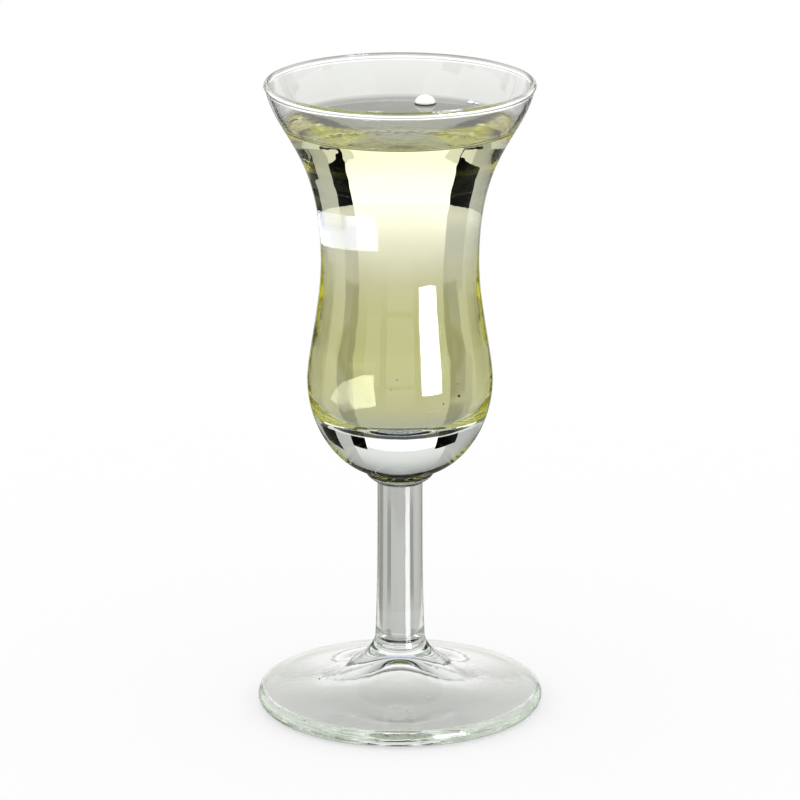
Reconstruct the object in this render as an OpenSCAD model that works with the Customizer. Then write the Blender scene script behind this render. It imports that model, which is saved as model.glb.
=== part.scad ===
// Cordial glass: a flared bowl with a thick clear base, a plain round stem and a domed foot.
// The bowl, the stem and the foot are formed apart and fused end to end while hot.
// The drink fills the bowl to a little below the rim and climbs where it wets the glass.
// The origin is on the table at the middle of the foot, and +Z points up.

/* [Foot] */
// Diameter of the foot
foot_d = 58.4; // [52:0.2:66]
// Thickness of the foot's rounded edge
foot_edge_t = 3.5; // [2:0.1:4]
// Height of the collar's top above the table
collar_h = 14.6; // [12:0.2:18]
// Width of the flat ring that the foot rests on
rest_ring_w = 0.8; // [0.5:0.1:4]
// Height of the hollow under the middle of the foot
kick_h = 8; // [1:0.1:9]

/* [Stem] */
// Length of the stem between the foot's collar and the bowl
stem_l = 32.8; // [24:0.2:50]
// Diameter of the stem where it meets the bowl
stem_top_d = 9.2; // [7:0.1:12]
// Diameter of the stem where it meets the foot's collar
stem_foot_d = 10.1; // [8:0.1:13]

/* [Bowl] */
// Height of the bowl from the stem to the rim
bowl_h = 83.3; // [76:0.1:96]
// Diameter of the rim
rim_d = 54.4; // [46:0.2:62]
// Diameter of the waist
waist_d = 31.9; // [28:0.2:36]
// Height of the waist above the stem
waist_h = 46.4; // [40:0.2:56]
// Greatest diameter of the bulb
bulb_d = 37.6; // [34:0.2:44]
// Height of the bulb's widest place above the stem
bulb_h = 21.8; // [19:0.2:28]
// Diameter of the button that the stem is fused to
button_d = 14; // [12.5:0.1:18]
// Height of the button
button_h = 2.6; // [2:0.1:5]

/* [Glass] */
// Thickness of the solid glass between the stem and the floor of the bowl
base_t = 12.9; // [9:0.1:16]
// Thickness of the wall at the bulb
bulb_wall = 1.7; // [1:0.1:2.6]
// Thickness of the wall at the waist
waist_wall = 1.4; // [1:0.1:2.4]
// Diameter of the rounded bead on the rim
lip_d = 1.3; // [1:0.1:2.4]

/* [Drink] */
// Depth of the drink's surface below the rim
drink_drop = 8.6; // [4:0.1:30]
// Rise of the drink's edge against the glass
meniscus_rise = 0.9; // [0.4:0.1:1.5]
// Distance from the glass over which the edge rises
meniscus_w = 2.6; // [2:0.1:8]

/* [Hidden] */

// Smoothness of the outlines and of the turning
curve_steps = 20;
arc_steps = 16;
round_steps = 96;

// Radii
foot_r = foot_d / 2;
edge_r = foot_edge_t / 2;
stem_top_r = stem_top_d / 2;
stem_foot_r = stem_foot_d / 2;
rim_r = rim_d / 2;
waist_r = waist_d / 2;
bulb_r = bulb_d / 2;
button_r = button_d / 2;
lip_r = lip_d / 2;

// Heights of the places where the pieces are fused
stem_z = collar_h;
bowl_z = stem_z + stem_l;

// How fully each curve of the bowl runs along its end tangents, as shares of the stretch
button_out_share = 0.5;
button_up_share = 0.3;
button_side_share = 0.5;
base_out_share = 0.5;
base_up_share = 0.085;
bulb_under_share = 0.515;
bulb_over_share = 0.2;
waist_under_share = 0.353;
waist_over_share = 0.64;
lip_under_share = 0.28;
lip_out_share = 0.22;
floor_out_share = 0.56;
floor_up_share = 0.72;

// The same for the foot, whose top leaves the edge at a slight slope
brim_slope = 5;
collar_down_share = 0.27;
brim_in_share = 0.79;
kick_out_share = 0.17;
rest_in_share = 0.78;
rest_up_share = 0.26;

// Angle by which the bead on the rim turns under on both sides
lip_turn = 55;

// The stem widens towards the foot by this power of the way down
stem_taper_power = 3;

// The drink's edge falls away from the glass by this many natural folds over its reach
meniscus_folds = 4;

// Share of the way inwards by which the drink's edge at least leaves the glass, however flat it flares
film_share = 0.1;

// One point of a cubic curve with end points a and d and handles b and c
function bezier(a, b, c, d, t) =
    a * pow(1 - t, 3) + 3 * b * t * pow(1 - t, 2) + 3 * c * t * t * (1 - t) + d * pow(t, 3);

// The points of such a curve after its first one
function curve(a, b, c, d) = [for (i = [1:curve_steps]) bezier(a, b, c, d, i / curve_steps)];

// The points of an arc, both ends included
function arc(centre, r, from, to) = [
    for (i = [0:arc_steps])
        let (angle = from + (to - from) * i / arc_steps)
        centre + r * [cos(angle), sin(angle)]
];

// The wall from a bulb of radius rb by a waist of radius rw to a rim of radius rr
function wall(rb, rw, rr) =
    let (
        lip_z = bowl_h - lip_r * (1 + sin(lip_turn)),
        swell = waist_h - bulb_h,
        flare = lip_z - waist_h,
        spread = rr - rw
    )
    concat(
        curve(
            [rb, bulb_h],
            [rb, bulb_h + bulb_over_share * swell],
            [rw, waist_h - waist_under_share * swell],
            [rw, waist_h]
        ),
        curve(
            [rw, waist_h],
            [rw, waist_h + waist_over_share * flare],
            [rr - lip_out_share * spread, lip_z - lip_under_share * flare],
            [rr, lip_z]
        )
    );

// The button and the round base, from the stem's edge to the bulb
function bowl_underside() =
    let (
        shoulder = button_r - stem_top_r,
        depth = bulb_h - button_h,
        spread = bulb_r - button_r
    )
    concat(
        [[stem_top_r, 0]],
        curve(
            [stem_top_r, 0],
            [stem_top_r + button_out_share * shoulder, button_up_share * button_h],
            [button_r, button_side_share * button_h],
            [button_r, button_h]
        ),
        curve(
            [button_r, button_h],
            [button_r + base_out_share * spread, button_h + base_up_share * depth],
            [bulb_r, bulb_h - bulb_under_share * depth],
            [bulb_r, bulb_h]
        )
    );

// The inside of the bowl, from the middle of its floor to the lip
function cavity() =
    let (
        rb = bulb_r - bulb_wall,
        depth = bulb_h - base_t
    )
    concat(
        [[0, base_t]],
        curve(
            [0, base_t],
            [floor_out_share * rb, base_t],
            [rb, bulb_h - floor_up_share * depth],
            [rb, bulb_h]
        ),
        wall(rb, waist_r - waist_wall, rim_r - lip_r * (1 + cos(lip_turn)))
    );

// The drink's surface near the glass, from the wetted edge inwards, for a glass of these radii by height
function meniscus(edge_r, level, glass_radii) = [
    for (i = [1:arc_steps])
        let (
            way = i / arc_steps,
            end = exp(-meniscus_folds),
            rise = (exp(-meniscus_folds * way) - end) / (1 - end),
            z = level + meniscus_rise * rise,
            film = film_share * meniscus_w * way
        )
        [min(edge_r - meniscus_w * way, lookup(z, glass_radii) - film), z]
];

// A solid turned from an outline in radius and height, stood at a height
module turned(outline, z) {
    translate([0, 0, z])
        rotate_extrude($fn = round_steps)
            polygon(outline);
}

// Blown bowl with its solid base and fire-polished rim
module bowl() {
    lip = arc([rim_r - lip_r, bowl_h - lip_r], lip_r, -lip_turn, 180 + lip_turn);
    outside = concat(bowl_underside(), wall(bulb_r, waist_r, rim_r - lip_r * (1 - cos(lip_turn))));
    inner_lip = len(cavity()) - 1;
    inside = [for (i = [inner_lip - 1:-1:0]) cavity()[i]];
    crown = [for (i = [1:arc_steps]) lip[i]];
    color([0.85, 0.9, 0.87, 0.4])
        turned(concat([[0, 0]], outside, crown, inside), bowl_z);
}

// Solid stem, slightly wider towards the foot
module stem() {
    side = [
        for (i = [0:curve_steps])
            let (way_down = 1 - i / curve_steps)
            [
                stem_top_r + (stem_foot_r - stem_top_r) * pow(way_down, stem_taper_power),
                stem_l * i / curve_steps
            ]
    ];
    color([0.8, 0.86, 0.82, 0.5])
        turned(concat([[0, 0]], side, [[0, stem_l]]), stem_z);
}

// Domed foot with a collar for the stem, a rounded edge and a hollow underside
module foot() {
    edge_x = foot_r - edge_r;
    rest_in_r = edge_x - rest_ring_w;
    brim = [edge_x + edge_r * sin(brim_slope), edge_r + edge_r * cos(brim_slope)];
    reach = brim_in_share * (brim[0] - stem_foot_r);
    underside = curve(
        [0, kick_h],
        [kick_out_share * rest_in_r, kick_h],
        [rest_in_r - rest_in_share * rest_in_r, rest_up_share * kick_h],
        [rest_in_r, 0]
    );
    edge = arc([edge_x, edge_r], edge_r, -90, 90 - brim_slope);
    top = curve(
        brim,
        brim + reach * [-cos(brim_slope), sin(brim_slope)],
        [stem_foot_r, collar_h - collar_down_share * (collar_h - brim[1])],
        [stem_foot_r, collar_h]
    );
    color([0.82, 0.88, 0.84, 0.45])
        turned(concat([[0, kick_h]], underside, edge, top, [[0, collar_h]]), 0);
}

// The drink, as deep as the bowl's inside up to the line where it wets the glass
module drink() {
    level = bowl_h - drink_drop;
    wet_z = level + meniscus_rise;
    glass_radii = [for (p = cavity()) [p[1], p[0]]];
    wet_r = lookup(wet_z, glass_radii);
    wetted = [for (p = cavity()) if (p[1] < wet_z) p];
    surface = concat([[wet_r, wet_z]], meniscus(wet_r, level, glass_radii), [[0, level]]);
    color([0.82, 0.84, 0.5, 0.6])
        turned(concat(wetted, surface), bowl_z);
}

bowl();
stem();
foot();
drink();
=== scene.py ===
"""Cordial glass holding a pale drink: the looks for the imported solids, in metres, in the solids' frame."""

import math

import bmesh
import bpy
from mathutils import Matrix


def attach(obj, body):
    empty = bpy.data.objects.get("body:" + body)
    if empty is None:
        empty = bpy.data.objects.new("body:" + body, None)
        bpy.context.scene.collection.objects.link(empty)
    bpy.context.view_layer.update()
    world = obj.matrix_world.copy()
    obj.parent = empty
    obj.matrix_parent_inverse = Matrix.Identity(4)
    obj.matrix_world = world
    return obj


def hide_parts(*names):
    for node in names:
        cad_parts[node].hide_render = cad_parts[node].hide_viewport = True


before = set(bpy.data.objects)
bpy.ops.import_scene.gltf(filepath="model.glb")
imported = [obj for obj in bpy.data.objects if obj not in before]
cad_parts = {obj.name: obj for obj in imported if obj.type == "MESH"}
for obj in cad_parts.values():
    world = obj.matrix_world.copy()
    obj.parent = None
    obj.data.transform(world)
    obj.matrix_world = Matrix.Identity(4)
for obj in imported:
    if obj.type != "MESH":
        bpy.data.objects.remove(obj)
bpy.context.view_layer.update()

MM = 0.001

# Sizes of the glass in millimetres, as in the solids.
FOOT_R = 29.2
EDGE_R = 1.75
COLLAR_H = 14.6
REST_RING_W = 0.8
KICK_H = 8.0
STEM_L = 32.8
STEM_TOP_R = 4.6
STEM_FOOT_R = 5.05
BOWL_Z = COLLAR_H + STEM_L
BOWL_H = 83.3
RIM_R = 27.2
WAIST_R = 15.95
WAIST_H = 46.4
BULB_R = 18.8
BULB_H = 21.8
BUTTON_R = 7.0
BUTTON_H = 2.6
BASE_T = 12.9
BULB_WALL = 1.7
WAIST_WALL = 1.4
LIP_R = 0.65
DRINK_DROP = 8.6
MENISCUS_RISE = 0.9
MENISCUS_W = 2.6

# How fully each curve runs along its end tangents, as shares of the stretch, as in the solids.
BUTTON_OUT, BUTTON_UP, BUTTON_SIDE = 0.5, 0.3, 0.5
BASE_OUT, BASE_UP, BULB_UNDER = 0.5, 0.085, 0.515
BULB_OVER, WAIST_UNDER = 0.2, 0.353
WAIST_OVER, LIP_OUT, LIP_UNDER = 0.64, 0.22, 0.28
FLOOR_OUT, FLOOR_UP = 0.56, 0.72
COLLAR_DOWN, BRIM_IN = 0.27, 0.79
KICK_OUT, REST_OUT, REST_UP = 0.17, 0.22, 0.26

# Angles in degrees, the power of the stem's taper and the natural folds of the meniscus, as in the solids.
LIP_TURN = 55
BRIM_SLOPE = 5
STEM_TAPER_POWER = 3
MENISCUS_FOLDS = 4
LIP_COS = math.cos(math.radians(LIP_TURN))
LIP_SIN = math.sin(math.radians(LIP_TURN))

# Smoothness of the outlines and of the turning, and the angle of an edge that stays sharp.
CURVE_STEPS, ARC_STEPS, ROUND_STEPS = 48, 24, 256
SHARP_ANGLE = math.radians(35)

# Refractive index from the inside to the outside of each kind of face.
GLASS_INDEX, DRINK_INDEX = 1.52, 1.36
GLASS_TO_DRINK = GLASS_INDEX / DRINK_INDEX
MATCHED = 1.0

# A face with a higher index than this has air outside it.
BARE_INDEX = 1.3

# Clearances that keep fused faces and the drink's wetted side from lying in the same place.
FUSED_GAP, WETTED_GAP = 0.01, 0.03

# Fineness of the noises in the materials, per metre, and how far the cords are drawn out along the axis.
CORD_SCALE, SMEAR_SCALE, TINT_SCALE, WHITE_FILM_SCALE, GRIT_SCALE = 260.0, 45.0, 30.0, 900.0, 6000.0
CORD_STRETCH = 0.3

WHITE = (1, 1, 1, 1)


def curve(a, b, c, d):
    """The points of a cubic curve after its first one."""
    points = []
    for step in range(1, CURVE_STEPS + 1):
        t = step / CURVE_STEPS
        weights = (1 - t) ** 3, 3 * t * (1 - t) ** 2, 3 * t * t * (1 - t), t**3
        points.append(tuple(sum(w * p[k] for w, p in zip(weights, (a, b, c, d))) for k in (0, 1)))
    return points


def arc(centre, radius, start, end):
    """The points of an arc, both ends included, with its angles in degrees."""
    angles = [math.radians(start + (end - start) * i / ARC_STEPS) for i in range(ARC_STEPS + 1)]
    return [(centre[0] + radius * math.cos(a), centre[1] + radius * math.sin(a)) for a in angles]


def wall(bulb, waist, rim):
    """The bowl's wall from the bulb by the waist to the rim, for the outer or the inner radii."""
    lip_z = BOWL_H - LIP_R * (1 + LIP_SIN)
    swell, flare, spread = WAIST_H - BULB_H, lip_z - WAIST_H, rim - waist
    lower = curve(
        (bulb, BULB_H),
        (bulb, BULB_H + BULB_OVER * swell),
        (waist, WAIST_H - WAIST_UNDER * swell),
        (waist, WAIST_H),
    )
    upper = curve(
        (waist, WAIST_H),
        (waist, WAIST_H + WAIST_OVER * flare),
        (rim - LIP_OUT * spread, lip_z - LIP_UNDER * flare),
        (rim, lip_z),
    )
    return lower + upper


def underside():
    """The button and the round base, from the stem's edge to the bulb."""
    shoulder, depth, spread = BUTTON_R - STEM_TOP_R, BULB_H - BUTTON_H, BULB_R - BUTTON_R
    button = curve(
        (STEM_TOP_R, 0),
        (STEM_TOP_R + BUTTON_OUT * shoulder, BUTTON_UP * BUTTON_H),
        (BUTTON_R, BUTTON_SIDE * BUTTON_H),
        (BUTTON_R, BUTTON_H),
    )
    base = curve(
        (BUTTON_R, BUTTON_H),
        (BUTTON_R + BASE_OUT * spread, BUTTON_H + BASE_UP * depth),
        (BULB_R, BULB_H - BULB_UNDER * depth),
        (BULB_R, BULB_H),
    )
    return button + base


def cavity():
    """The inside of the bowl, from the middle of its floor to the lip."""
    bulb, depth = BULB_R - BULB_WALL, BULB_H - BASE_T
    floor = curve(
        (0, BASE_T),
        (FLOOR_OUT * bulb, BASE_T),
        (bulb, BULB_H - FLOOR_UP * depth),
        (bulb, BULB_H),
    )
    return [(0, BASE_T)] + floor + wall(bulb, WAIST_R - WAIST_WALL, RIM_R - LIP_R * (1 + LIP_COS))


def contact():
    """Where the drink's edge meets the glass."""
    height = BOWL_H - DRINK_DROP + MENISCUS_RISE
    inside = cavity()
    for low, high in zip(inside, inside[1:]):
        if low[1] < height <= high[1]:
            way = (height - low[1]) / (high[1] - low[1])
            return low[0] + (high[0] - low[0]) * way, height


def bowl_outline():
    """The bowl's points, each with the index of the band that follows it."""
    lip = arc((RIM_R - LIP_R, BOWL_H - LIP_R), LIP_R, -LIP_TURN, 180 + LIP_TURN)[1:]
    outside = underside() + wall(BULB_R, WAIST_R, RIM_R - LIP_R * (1 - LIP_COS))
    edge = contact()
    dry = [p for p in cavity()[:-1] if p[1] > edge[1]]
    wetted = [p for p in cavity() if p[1] < edge[1]]
    outline = [(0, FUSED_GAP, MATCHED), (STEM_TOP_R, FUSED_GAP, GLASS_INDEX)]
    outline += [(r, z, GLASS_INDEX) for r, z in outside + lip + dry[::-1]]
    outline += [(r, z, GLASS_TO_DRINK) for r, z in [edge] + wetted[::-1]]
    return [(r, z + BOWL_Z, index) for r, z, index in outline]


def stem_outline():
    """The stem's points, each with the index of the band that follows it."""
    side = []
    for step in range(CURVE_STEPS + 1):
        way = step / CURVE_STEPS
        radius = STEM_TOP_R + (STEM_FOOT_R - STEM_TOP_R) * (1 - way) ** STEM_TAPER_POWER
        side.append((radius, COLLAR_H + FUSED_GAP + (STEM_L - 2 * FUSED_GAP) * way, GLASS_INDEX))
    low, high = side[0], side[-1]
    return [(0, low[1], MATCHED)] + side[:-1] + [(high[0], high[1], MATCHED), (0, high[1], MATCHED)]


def foot_outline():
    """The foot's points, each with the index of the band that follows it."""
    slope = math.radians(BRIM_SLOPE)
    edge_x = FOOT_R - EDGE_R
    rest_r = edge_x - REST_RING_W
    brim = (edge_x + EDGE_R * math.sin(slope), EDGE_R + EDGE_R * math.cos(slope))
    reach = BRIM_IN * (brim[0] - STEM_FOOT_R)
    top = COLLAR_H - FUSED_GAP
    hollow = curve(
        (0, KICK_H),
        (KICK_OUT * rest_r, KICK_H),
        (REST_OUT * rest_r, REST_UP * KICK_H),
        (rest_r, 0),
    )
    edge = arc((edge_x, EDGE_R), EDGE_R, -90, 90 - BRIM_SLOPE)
    dome = curve(
        brim,
        (brim[0] - reach * math.cos(slope), brim[1] + reach * math.sin(slope)),
        (STEM_FOOT_R, top - COLLAR_DOWN * (top - brim[1])),
        (STEM_FOOT_R, top),
    )
    outline = [(r, z, GLASS_INDEX) for r, z in [(0, KICK_H)] + hollow + edge + dome]
    return outline[:-1] + [(STEM_FOOT_R, top, MATCHED), (0, top, MATCHED)]


def drink_outline():
    """The drink's points, each with the index of the band that follows it."""
    edge = contact()
    level = BOWL_H - DRINK_DROP
    wetted = [p for p in cavity() if p[1] < edge[1]] + [edge]
    side = []
    for i, (r, z) in enumerate(wetted):
        before, after = wetted[max(i - 1, 0)], wetted[min(i + 1, len(wetted) - 1)]
        along = math.hypot(after[0] - before[0], after[1] - before[1])
        inwards = ((before[1] - after[1]) / along, (after[0] - before[0]) / along)
        side.append((max(r + WETTED_GAP * inwards[0], 0), z + WETTED_GAP * inwards[1], MATCHED))
    surface = []
    end = math.exp(-MENISCUS_FOLDS)
    for step in range(1, ARC_STEPS + 1):
        way = step / ARC_STEPS
        rise = (math.exp(-MENISCUS_FOLDS * way) - end) / (1 - end)
        surface.append((side[-1][0] - MENISCUS_W * way, level + MENISCUS_RISE * rise, DRINK_INDEX))
    outline = side[:-1] + [(side[-1][0], side[-1][1], DRINK_INDEX)] + surface + [(0, level, DRINK_INDEX)]
    return [(r, z + BOWL_Z, index) for r, z, index in outline]


def new_object(name, data):
    """A mesh or a camera as an object of the scene."""
    placed = bpy.data.objects.new(name, data)
    bpy.context.collection.objects.link(placed)
    return placed


def turned(name, outline):
    """A smooth mesh turned from an outline about the axis."""
    turns = [2 * math.pi * j / ROUND_STEPS for j in range(ROUND_STEPS)]
    vertices, rings = [], []
    for r, z, _ in outline:
        round_turns = turns if r > 0 else [0.0]
        rings.append(range(len(vertices), len(vertices) + len(round_turns)))
        vertices += [(r * MM * math.cos(t), r * MM * math.sin(t), z * MM) for t in round_turns]
    faces, indices = [], []
    for low, high, (_, _, index) in zip(rings, rings[1:], outline):
        for j in range(ROUND_STEPS):
            k = (j + 1) % ROUND_STEPS
            corners = [low[j % len(low)], low[k % len(low)], high[k % len(high)], high[j % len(high)]]
            faces.append(list(dict.fromkeys(corners)))
            indices.append(index)
    mesh = bpy.data.meshes.new(name)
    mesh.from_pydata(vertices, [], faces)
    mesh.polygons.foreach_set("use_smooth", [True] * len(faces))
    mesh.set_sharp_from_angle(angle=SHARP_ANGLE)
    mesh.attributes.new("index_ratio", "FLOAT", "FACE").data.foreach_set("value", indices)
    return new_object(name, mesh)


class Graph:
    """Short ways to add nodes to a node tree."""

    def __init__(self, tree):
        self.nodes, self.links = tree.nodes, tree.links

    def put(self, socket, value):
        """Links a node's output to a socket, or sets the socket to a plain value."""
        if hasattr(value, "is_linked"):
            self.links.new(value, socket)
        else:
            socket.default_value = value

    def add(self, kind, *values, **settings):
        """A node with these settings, whose first sockets take these values."""
        node = self.nodes.new("ShaderNode" + kind)
        for key, value in settings.items():
            setattr(node, key, value)
        for socket, value in zip(node.inputs, values):
            if value is not None:
                self.put(socket, value)
        return node

    def output(self, kind, *values):
        """The first output of a new node."""
        return self.add(kind, *values).outputs[0]

    def math(self, operation, *values):
        return self.add("Math", *values, operation=operation).outputs[0]

    def times(self, first, *others):
        """The product of all the values."""
        for other in others:
            first = self.math("MULTIPLY", first, other)
        return first

    def ramp(self, value, low, high, start=0.0, end=1.0):
        """Goes smoothly from start to end as the value goes from low to high."""
        node = self.add("MapRange", value, low, high, start, end, interpolation_type="SMOOTHSTEP")
        return node.outputs[0]

    def mix(self, share, a, b):
        """Goes evenly from a to b as the share goes from nought to one."""
        rest = self.math("SUBTRACT", 1.0, share)
        return self.math("ADD", self.times(rest, a), self.times(share, b))

    def within(self, value, low, high, soft):
        """One between the two bounds and nought outside them, with soft edges."""
        rise = self.ramp(value, low - soft, low + soft)
        return self.times(rise, self.ramp(value, high - soft, high + soft, 1.0, 0.0))

    def mixed_colour(self, share, a, b):
        """Goes evenly from one colour to another as the share goes from nought to one."""
        blend = self.add("Mix", data_type="RGBA")
        for socket, value in zip((blend.inputs[0], blend.inputs[6], blend.inputs[7]), (share, a, b)):
            self.put(socket, value)
        return blend.outputs[2]

    def noise(self, place, scale, detail, roughness=None):
        return self.output("TexNoise", place, None, scale, detail, roughness)

    def place(self, kind):
        """Object: the place in metres. Generated: shares of the piece's box, or a direction in the sky."""
        return self.add("TexCoord").outputs[kind]

    def axis(self, place, letter):
        return self.add("SeparateXYZ", place).outputs[letter]


def new_material(name):
    """A material with nodes, and its graph."""
    material = bpy.data.materials.new(name)
    material.use_nodes = True
    return material, Graph(material.node_tree)


def set_surface(material, shader):
    material.node_tree.links.new(shader, material.node_tree.nodes["Material Output"].inputs["Surface"])


def set_tint(material, colour):
    material.node_tree.links.new(colour, material.node_tree.nodes["Principled BSDF"].inputs["Base Color"])


def clear_material(name, index, depth_colour, density, cord_height):
    """A clear body, bending light by each face's own index, with faint cords, smears and uneven tint."""
    material, graph = new_material(name)
    ratio = graph.add("Attribute", attribute_name="index_ratio").outputs["Fac"]
    place = graph.place("Object")
    drawn = graph.output("Mapping", place, None, None, (1, 1, CORD_STRETCH))
    cords = graph.noise(drawn, CORD_SCALE, 2.0)
    smears = graph.ramp(graph.noise(place, SMEAR_SCALE, 5.0, 0.6), 0.5, 0.75)
    bare = graph.math("GREATER_THAN", ratio, BARE_INDEX)
    bump = graph.add("Bump")
    bump.inputs["Distance"].default_value = cord_height
    graph.put(bump.inputs["Height"], cords)
    shader = material.node_tree.nodes["Principled BSDF"].inputs
    for socket, value in (
        ("Base Color", WHITE),
        ("Roughness", 0.0),
        ("IOR", index),
        ("IOR", ratio),
        ("Transmission Weight", 1.0),
        ("Normal", bump.outputs[0]),
        ("Coat Weight", graph.times(bare, graph.times(smears, 0.1))),
        ("Coat Roughness", graph.math("ADD", 0.2, graph.times(smears, 0.2))),
    ):
        graph.put(shader[socket], value)
    body = graph.output("VolumeAbsorption", depth_colour, density)
    graph.put(material.node_tree.nodes["Material Output"].inputs["Volume"], body)
    uneven = graph.ramp(graph.noise(place, TINT_SCALE, 3.0), 0.4, 0.7)
    return material, graph, graph.axis(place, "Z"), uneven


# What is left of white light in depth, how fast that comes about, and the height of the cords.
GLASS_DEPTH = ((0.66, 0.88, 0.56, 1), 3.2, 0.04 * MM)
DRINK_DEPTH = ((0.9, 0.9, 0.05, 1), 12, 0.02 * MM)

# The glass is painted dark at the fused seam under the bowl: painted shade standing in for the dark
# surroundings that the joint refracts and mirrors.
SEAM_PAINTED_SHADE = (0.14, 0.145, 0.13, 1)
SEAM_SOFT = 0.3 * MM
glass, graph, height, uneven = clear_material("clear_glass", GLASS_INDEX, *GLASS_DEPTH)
clear = graph.mixed_colour(uneven, WHITE, (0.985, 0.996, 0.988, 1))
seam = graph.within(height, BOWL_Z * MM, (BOWL_Z + BUTTON_H) * MM, SEAM_SOFT)
set_tint(glass, graph.mixed_colour(seam, clear, SEAM_PAINTED_SHADE))

# The drink's yellow is deepest across the bulb, partly its own colour and partly a painted shadow: the
# deeper yellow stands in for the drink's yellow shadow on the table, seen through it. It turns paler between
# these heights below and above it.
PALER_BELOW, PALER_ABOVE = (0.072, 0.054), (0.080, 0.100)
cordial, graph, height, uneven = clear_material("pale_drink", DRINK_INDEX, *DRINK_DEPTH)
paler = graph.math("MAXIMUM", graph.ramp(height, *PALER_BELOW), graph.ramp(height, *PALER_ABOVE))
deepest_with_painted_shadow = graph.mixed_colour(uneven, (0.99, 0.97, 0.64, 1), (0.985, 0.975, 0.6, 1))
set_tint(cordial, graph.mixed_colour(paler, deepest_with_painted_shadow, (1, 0.985, 1, 1)))

for name, outline, node, slot, material in (
    ("blown_bowl", bowl_outline(), "bowl", "bowl_glass", glass),
    ("drawn_stem", stem_outline(), "stem", "stem_glass", glass),
    ("domed_foot", foot_outline(), "foot", "foot_glass", glass),
    ("cordial", drink_outline(), "drink", "drink", cordial),
):
    piece = turned(name, outline)
    piece.data.materials.append(material)
    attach(piece, "root")
    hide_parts(node)

# A bubble on the drink and two smaller ones near the wall, drawn as a white film whose white is a painted
# reflection, with a line of painted shade at the foot.
BUBBLES = (
    ("bubble", 5.1, 17.3, 122.1, 2.18),
    ("bubble_small", 14.4, 16.9, 122.3, 0.75),
    ("bubble_least", 15.6, 16.2, 122.3, 0.5),
)
BUBBLE_FLATNESS = 0.85

film, graph = new_material("bubble_film")
# The film's white, patchy by noise, stands in for the reflections that a clear bubble shows: a painted
# reflection.
white_film_share = graph.ramp(graph.noise(graph.place("Object"), WHITE_FILM_SCALE, 3.0), 0.3, 0.7, 0.85, 1.0)
lit, lit_through = graph.output("BsdfDiffuse", WHITE), graph.output("BsdfTranslucent", WHITE)
painted_white_film = graph.output("AddShader", lit, lit_through)
veil = graph.output("MixShader", white_film_share, graph.output("BsdfTransparent"), painted_white_film)
# A dark line of painted shade round each bubble's foot.
foot_line = graph.ramp(graph.axis(graph.place("Generated"), "Z"), 0.1, 0.3, 1.0, 0.0)
shadowed = graph.output("BsdfDiffuse", (0.05, 0.06, 0.02, 1))
set_surface(film, graph.output("MixShader", foot_line, veil, shadowed))
for name, x, y, z, radius in BUBBLES:
    dome = [(r, BUBBLE_FLATNESS * h, DRINK_INDEX) for r, h in arc((0, 0), radius, 0, 90)[:-1]]
    piece = turned(name, dome + [(0, BUBBLE_FLATNESS * radius, DRINK_INDEX)])
    piece.location = (x * MM, y * MM, z * MM)
    piece.data.materials.append(film)
    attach(piece, "root")

# Specks in the drink and dust on the foot: two colours, then each grain's place and radius in millimetres.
SPECKS = (
    (
        "sediment",
        (0.03, 0.025, 0.01, 1),
        (0.12, 0.1, 0.04, 1),
        (
            (-0.57, -15.93, 73.61, 0.16),
            (8.25, -14.1, 68.22, 0.17),
            (10.89, -12.09, 71.64, 0.15),
            (-1.72, -16.08, 71.6, 0.13),
        ),
    ),
    ("crumb", (0.3, 0.1, 0.01, 1), (0.55, 0.25, 0.03, 1), ((11.16, -12.06, 69.21, 0.36),)),
    (
        "dust",
        (0.03, 0.03, 0.03, 1),
        (0.15, 0.15, 0.14, 1),
        (
            (-16.57, -2.72, 5.4, 0.22),
            (1.42, -19.61, 4.67, 0.14),
            (1.41, -22.68, 4.09, 0.14),
            (-1.21, -28.6, 2.95, 0.16),
            (-11.74, -20.56, 3.95, 0.13),
        ),
    ),
)
GRAIN_SHAPE = Matrix.Diagonal((1, 0.7, 0.8, 1))

for name, dark, pale, places in SPECKS:
    grains = bmesh.new()
    for x, y, z, radius in places:
        stand = Matrix.Translation((x * MM, y * MM, z * MM)) @ GRAIN_SHAPE
        bmesh.ops.create_icosphere(grains, subdivisions=2, radius=radius * MM, matrix=stand)
    mesh = bpy.data.meshes.new(name)
    grains.to_mesh(mesh)
    grains.free()
    piece = new_object(name, mesh)
    grit, graph = new_material(name)
    mottle = graph.noise(graph.place("Object"), GRIT_SCALE, 3.0)
    set_tint(grit, graph.mixed_colour(mottle, dark, pale))
    shader = grit.node_tree.nodes["Principled BSDF"].inputs
    graph.put(shader["Roughness"], graph.ramp(mottle, 0.2, 0.8, 0.5, 0.9))
    mesh.materials.append(grit)
    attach(piece, "root")

# Studio. The camera sees a white background and a pale floor. The glass sees panels, flags and a strip
# light, whose images are the bright and dark shapes in it. What these show to a ray depends on how often
# it was turned inside the glass and how many faces it crossed, as fitted to the photograph's view.
scene = bpy.context.scene
scene.view_settings.view_transform = "Standard"
scene.cycles.max_bounces = 96
scene.cycles.transmission_bounces = 96
scene.cycles.glossy_bounces = 48

# From so many turns inside the glass a ray counts as turned many times, in full at the second number.
MANY_TURNS = (3.5, 7.0)

# Levels of the dark ceiling over the panels and of the room beside the bays, also for rays turned once.
CEILING, BESIDE, BESIDE_ONCE = 0.012, 0.58, 0.85

# Bays of the room about each quarter's middle, by bearing and by height in degrees.
BAY_BEARINGS, BAY_HEIGHTS = (-26.5, 26.0), (5.0, 48.0)

# The floor is a disc of pale paper a little below the foot, with a glow of its own for the camera.
FLOOR_R, FLOOR_SIDES, FLOOR_DROP = 1.8, 128, 0.2 * MM
PAPER_GREY, PAPER_GLOW = (0.4, 0.4, 0.4, 1), 0.6

# What the black flags show to rays turned once, turned once in the foot, and turned many times.
FLAG_ONCE, FLAG_IN_FOOT, FLAG_MANY = 0.5, 0.75, 0.9

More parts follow.
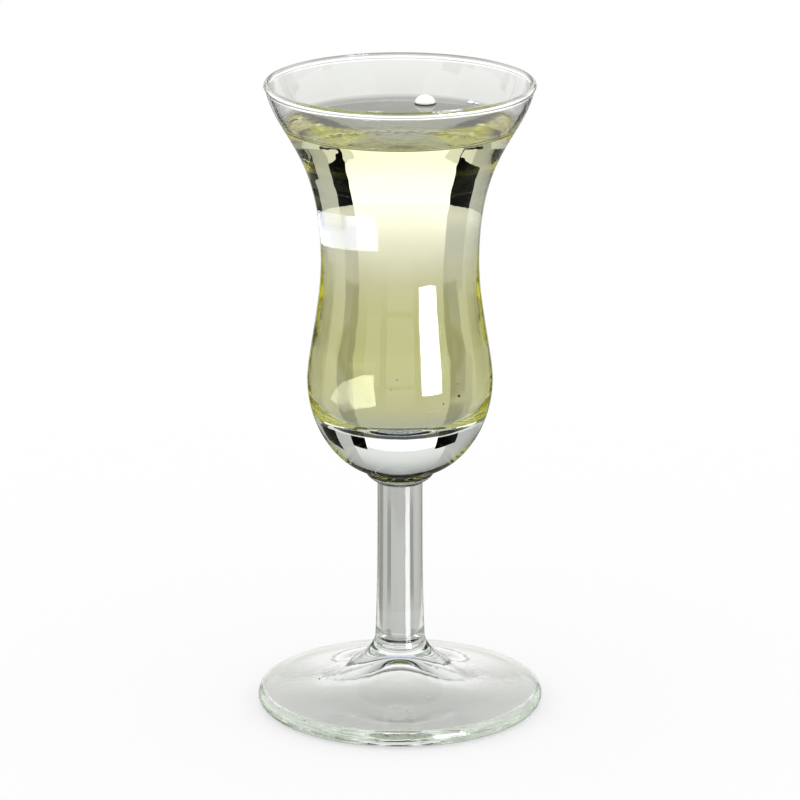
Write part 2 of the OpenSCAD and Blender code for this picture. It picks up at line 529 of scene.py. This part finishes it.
# Level of each strip at its edges, and how steeply it rises from there to its middle.
STRIP_LAMP, ACROSS_LAMP, LOW_LAMP = (7.0, 110.0), (14.0, 190.0), (21.0, 330.0)


def ray_kinds(graph):
    """Kinds of rays by how often they turned and crossed a face, named after where most of them go."""
    path = graph.add("LightPath").outputs
    turns, crossings = path["Glossy Depth"], path["Transmission Depth"]
    in_glass = graph.math("MAXIMUM", path["Is Glossy Ray"], path["Is Transmission Ray"])
    straight = graph.math("LESS_THAN", turns, 0.5)
    turned_once = graph.math("COMPARE", turns, 1.0, 0.5)
    turned_twice = graph.math("COMPARE", turns, 2.0, 0.5)
    few_turns = graph.math("COMPARE", turns, 1.5, 0.6)
    many_turns = graph.ramp(turns, *MANY_TURNS)
    mirrored = graph.times(in_glass, graph.math("LESS_THAN", crossings, 0.5))
    return {
        "camera": path["Is Camera Ray"],
        "glass": in_glass,
        "turns": turns,
        "length": path["Ray Length"],
        "mirrored": mirrored,
        "off_table": graph.times(mirrored, turned_twice),
        "turned_once": turned_once,
        "turned_in_foot": graph.times(turned_once, graph.math("LESS_THAN", crossings, 2.5)),
        "turned_by_button": graph.times(turned_once, graph.math("GREATER_THAN", crossings, 3.5)),
        "turned_by_base": graph.times(turned_once, graph.math("GREATER_THAN", crossings, 4.5)),
        "turned_by_drink": graph.times(many_turns, graph.math("GREATER_THAN", crossings, 2.5)),
        "crossed_twice": graph.times(few_turns, graph.math("GREATER_THAN", crossings, 7.5)),
        "dry": graph.times(straight, graph.math("LESS_THAN", crossings, 4.5)),
    }


def studio_world():
    """White for the camera; for the glass a room with bright bays round about and a dark ceiling."""
    world = bpy.data.worlds.new("studio")
    world.use_nodes = True
    sky = Graph(world.node_tree)
    direction = sky.add("SeparateXYZ", sky.place("Generated")).outputs
    bearing = sky.times(sky.math("ARCTAN2", direction["X"], direction["Y"]), 180 / math.pi)
    height = sky.times(sky.math("ARCSINE", direction["Z"]), 180 / math.pi)
    rays = ray_kinds(sky)
    bay = sky.within(sky.math("WRAP", bearing, 45.0, -45.0), *BAY_BEARINGS, 0.3)
    overhead = sky.times(bay, sky.within(height, *BAY_HEIGHTS, 2.0))
    beside = sky.mix(rays["turned_once"], BESIDE, BESIDE_ONCE)
    level = sky.mix(overhead, beside, sky.ramp(height, 15.0, 48.0, 0.9, 0.47))
    ceiling = sky.ramp(rays["turns"], *MANY_TURNS, CEILING, 1.15)
    ceiling = sky.math("ADD", ceiling, sky.times(0.4, rays["turned_by_drink"]))
    level = sky.mix(sky.ramp(height, 46.0, 50.0), level, ceiling)
    level = sky.mix(sky.times(rays["turned_by_base"], sky.ramp(height, 26.0, 34.0)), level, CEILING)
    level = sky.mix(sky.times(rays["turned_by_button"], sky.ramp(height, 40.0, 45.0)), level, CEILING)
    level = sky.mix(rays["crossed_twice"], level, CEILING)
    colour = sky.mixed_colour(rays["turned_by_drink"], (0.985, 1, 0.98, 1), (0.6, 0.62, 1, 1))
    room = sky.output("Background", colour, level)
    backdrop = sky.output("MixShader", rays["glass"], sky.output("Background", WHITE, 1.0), room)
    sky.links.new(backdrop, world.node_tree.nodes["World Output"].inputs["Surface"])
    return world


def studio_floor():
    """A pale floor that keeps the shadow; the glass sees it as a lit sheet of glossy acrylic."""
    mesh = bpy.data.meshes.new("floor")
    turns = [2 * math.pi * j / FLOOR_SIDES for j in range(FLOOR_SIDES)]
    corners = [(FLOOR_R * math.cos(t), FLOOR_R * math.sin(t), 0) for t in turns]
    mesh.from_pydata(corners, [], [range(FLOOR_SIDES)])
    floor = new_object("floor", mesh)
    floor.location.z = -FLOOR_DROP
    material, graph = new_material("floor")
    mesh.materials.append(material)
    rays = ray_kinds(graph)
    place = graph.place("Object")
    away = graph.add("VectorMath", place, operation="LENGTH").outputs["Value"]
    behind = graph.axis(place, "Y")

    # The sheet's level, darker near the glass as a painted shadow of the glass on the table, and how each
    # kind of ray shows it.
    far = graph.ramp(away, 0.4, 1.1, 0.0, 0.55)
    level = graph.math("ADD", graph.ramp(away, 0.1, 0.4, 0.46, 0.65), far)
    once = graph.math("MAXIMUM", rays["crossed_twice"], rays["turned_once"])
    shown = graph.mix(once, 1.0, graph.ramp(away, 0.07, 0.12, 1.0, 0.1))
    shown = graph.times(shown, graph.ramp(rays["turns"], *MANY_TURNS, 1.0, 1.6))
    shown = graph.mix(rays["turned_in_foot"], shown, 0.03)
    shown = graph.mix(rays["mirrored"], shown, 0.05)
    shown = graph.times(shown, graph.mix(rays["dry"], 1.0, graph.ramp(away, 0.2, 0.4, 1.0, 1.15)))
    lit_behind = graph.times(
        graph.ramp(behind, -0.006, 0.022, 0.0, 1.1), graph.ramp(behind, 0.026, 0.034, 1.0, 0.0)
    )
    shown = graph.times(shown, graph.math("ADD", 1.0, graph.times(rays["dry"], lit_behind)))
    sheet = graph.output("Emission", (0.99, 1, 0.94, 1), graph.times(level, shown))
    from_inside = graph.mix(rays["mirrored"], rays["turned_in_foot"], 0.0)
    shine = graph.times(graph.mix(from_inside, 1.0, 0.1), graph.output("Fresnel", 2.3))
    acrylic = graph.output("MixShader", shine, sheet, graph.output("BsdfGlossy", WHITE, 0.06))

    glow = graph.output("Emission", WHITE, graph.times(rays["camera"], PAPER_GLOW))
    paper = graph.output("AddShader", graph.output("BsdfDiffuse", PAPER_GREY), glow)
    set_surface(material, graph.output("MixShader", rays["glass"], paper, acrylic))


scene.world = studio_world()
studio_floor()


def panel_level(graph, rays, across, up):
    """Brightest low down, but with a dark foot where it shows on the outside of the glass."""
    shown = graph.mix(rays["mirrored"], 1.0, graph.ramp(up, 0.0, 0.08))
    shown = graph.times(shown, graph.mix(rays["turned_once"], 1.0, graph.ramp(up, 0.3, 1.0, 1.0, 0.62)))
    shown = graph.times(shown, graph.mix(rays["turned_in_foot"], 1.0, 0.66))
    shown = graph.mix(rays["crossed_twice"], shown, 0.0)
    return graph.times(shown, graph.ramp(up, 0.3, 1.0, 1.55, 1.35))


def bright_middle(graph, across, up, edge, middle):
    """A lamp's level, which rises from its edges to its middle."""
    bulge = [graph.times(way, graph.math("SUBTRACT", 1.0, way)) for way in (across, up)]
    return graph.math("ADD", edge, graph.times(middle, graph.times(*bulge)))


def strip_level(graph, rays, across, up):
    """Strongest where it shines straight off the glass."""
    lamp = bright_middle(graph, across, up, *STRIP_LAMP)
    shown = graph.mix(rays["crossed_twice"], rays["turned_once"], 0.0)
    return graph.times(lamp, graph.mix(rays["mirrored"], 1.0, 3.0), shown)


def strip_across_level(graph, rays, across, up):
    """The same light as it comes back off the far wall through the drink, weaker at its far end."""
    lamp = bright_middle(graph, across, up, *ACROSS_LAMP)
    far_end = graph.ramp(up, 0.05, 0.6, 0.9, 0.36)
    fall = graph.mix(graph.ramp(across, 0.4, 0.74), 1.7, far_end)
    return graph.times(lamp, fall, rays["turned_once"])


def strip_low_level(graph, rays, across, up):
    """The same light as the table mirrors it onto the stem."""
    return bright_middle(graph, across, up, *LOW_LAMP)


def black_but(graph, rays, kept_black, once):
    """Black, but lighter for rays turned once, unless they are kept black, and after many turns."""
    lighter = graph.mix(kept_black, rays["turned_once"], 0.0)
    many = graph.ramp(rays["turns"], *MANY_TURNS, 0.0, FLAG_MANY)
    return graph.math("ADD", graph.times(once, lighter), many)


def flag_level(graph, rays, across, up):
    """Black, but lighter for rays turned once, and most of all for those turned in the foot."""
    kept_black = graph.math("MAXIMUM", rays["mirrored"], rays["crossed_twice"])
    return black_but(graph, rays, kept_black, graph.mix(rays["turned_in_foot"], FLAG_ONCE, FLAG_IN_FOOT))


def flag_far_level(graph, rays, across, up):
    """Black, also for rays turned in the foot, but lighter for others turned once."""
    kept_black = graph.math("MAXIMUM", rays["mirrored"], rays["crossed_twice"])
    kept_black = graph.math("MAXIMUM", rays["turned_in_foot"], kept_black)
    return black_but(graph, rays, kept_black, FLAG_ONCE)


def flag_top_level(graph, rays, across, up):
    """Black, but lit above its lowest part for rays turned in the foot."""
    return graph.times(rays["turned_in_foot"], graph.ramp(up, 0.25, 0.3, 0.0, 0.8))


def turned_rays(graph, rays, up):
    return rays["turned_once"]


def crossed_rays(graph, rays, up):
    return rays["crossed_twice"]


# Height of the low strip.
STRIP_LOW_H = 0.036


def shallow_rays(graph, rays, up):
    """Rays that come up from the table at a low slope, which is all that the strip's grid lets out."""
    slope = graph.math("DIVIDE", graph.times(up, STRIP_LOW_H), rays["length"])
    return graph.times(rays["off_table"], graph.ramp(slope, 0.33, 0.37, 1.0, 0.0))


def card(name, bearings, distance, low, high, level, colour=WHITE, seen_by=None):
    """An upright studio card between two bearings, which only the glass sees, or only some of its rays.

    The bearings are in degrees, clockwise from +Y as seen from above.
    """
    turns = [math.radians(bearing) for bearing in bearings]
    (ax, ay), (bx, by) = [(distance * math.sin(t), distance * math.cos(t)) for t in turns]
    mesh = bpy.data.meshes.new(name)
    mesh.from_pydata([(ax, ay, low), (bx, by, low), (bx, by, high), (ax, ay, high)], [], [(0, 1, 2, 3)])
    piece = new_object(name, mesh)
    piece.visible_camera = piece.visible_diffuse = piece.visible_shadow = False
    material, graph = new_material(name)
    rays = ray_kinds(graph)
    place = graph.add("SeparateXYZ", graph.place("Generated")).outputs
    strength = graph.times(rays["glass"], level(graph, rays, place["X"], place["Z"]))
    light = graph.output("Emission", graph.mixed_colour(rays["mirrored"], colour, WHITE), strength)
    if seen_by:
        seen = seen_by(graph, rays, place["Z"])
        light = graph.output("MixShader", seen, graph.output("BsdfTransparent"), light)
    set_surface(material, light)
    material.cycles.emission_sampling = "NONE"
    mesh.materials.append(material)


# Distances and heights of the cards, in metres, and bearings of edges that they share.
AWAY, IN_FRONT = 1.85, 1.84
PANEL_H, FLAG_H, CARD_H = 0.55, 0.63, 1.0
PANEL_LEFT, PANEL_RIGHT, FLAG_RIGHT, FAR_LEFT = -18.6, 17.4, 26, 45.5
STRIP_BEARINGS = (128, 154)

# Each quarter has a panel between flags, and two quarters have a further flag. A card's row gives its
# name, its bearings from the quarter's middle, its distance, its lower and upper edge, its level and the
# rays that see it, if not all do.
QUARTER_CARDS = (
    ("panel", (PANEL_LEFT, PANEL_RIGHT), AWAY, 0, PANEL_H, panel_level, None),
    ("flag_left", (-33, PANEL_LEFT), AWAY, 0, FLAG_H, flag_level, None),
    ("flag_right", (PANEL_RIGHT, FLAG_RIGHT), AWAY, 0, FLAG_H, flag_level, None),
    ("flag_top_left", (-29, PANEL_LEFT), IN_FRONT, PANEL_H, CARD_H, flag_top_level, turned_rays),
    ("flag_top_right", (PANEL_RIGHT, FLAG_RIGHT), IN_FRONT, PANEL_H, CARD_H, flag_top_level, turned_rays),
)
FAR_CARDS = (
    ("flag_far", (FAR_LEFT, 58), AWAY, 0, CARD_H, flag_far_level, None),
    ("flag_far_top", (39, FAR_LEFT), AWAY, 0.45, CARD_H, flag_far_level, None),
)
for quarter in (0, 90, 180, 270):
    cards = QUARTER_CARDS + FAR_CARDS if quarter in (0, 180) else QUARTER_CARDS
    for name, bearings, distance, low, high, level, seen_by in cards:
        bearings = [quarter + bearing for bearing in bearings]
        card("%s.%d" % (name, quarter), bearings, distance, low, high, level, seen_by=seen_by)
card("strip_light", STRIP_BEARINGS, 0.28, 0.035, 0.15, strip_level, (0.7, 0.72, 1, 1))
card("strip_across", (132, 163), 0.27, 0.03, 0.172, strip_across_level, (0.42, 0.44, 1, 1), crossed_rays)
card("strip_low", STRIP_BEARINGS, 0.17, 0, STRIP_LOW_H, strip_low_level, seen_by=shallow_rays)

# Camera at the photograph's place, with its focal length in pixels of an image 800 wide.
SENSOR_W = 36
FOCAL_PIXELS, IMAGE_PIXELS = 4875.3, 800
LOOKS_DOWN = 16.741

camera_data = bpy.data.cameras.new("camera")
camera_data.sensor_width = SENSOR_W
camera_data.lens = SENSOR_W * FOCAL_PIXELS / IMAGE_PIXELS
camera = new_object("camera", camera_data)
camera.location = (0, -0.947, 0.3494)
camera.rotation_euler = (math.radians(90 - LOOKS_DOWN), 0, 0)
scene.camera = camera
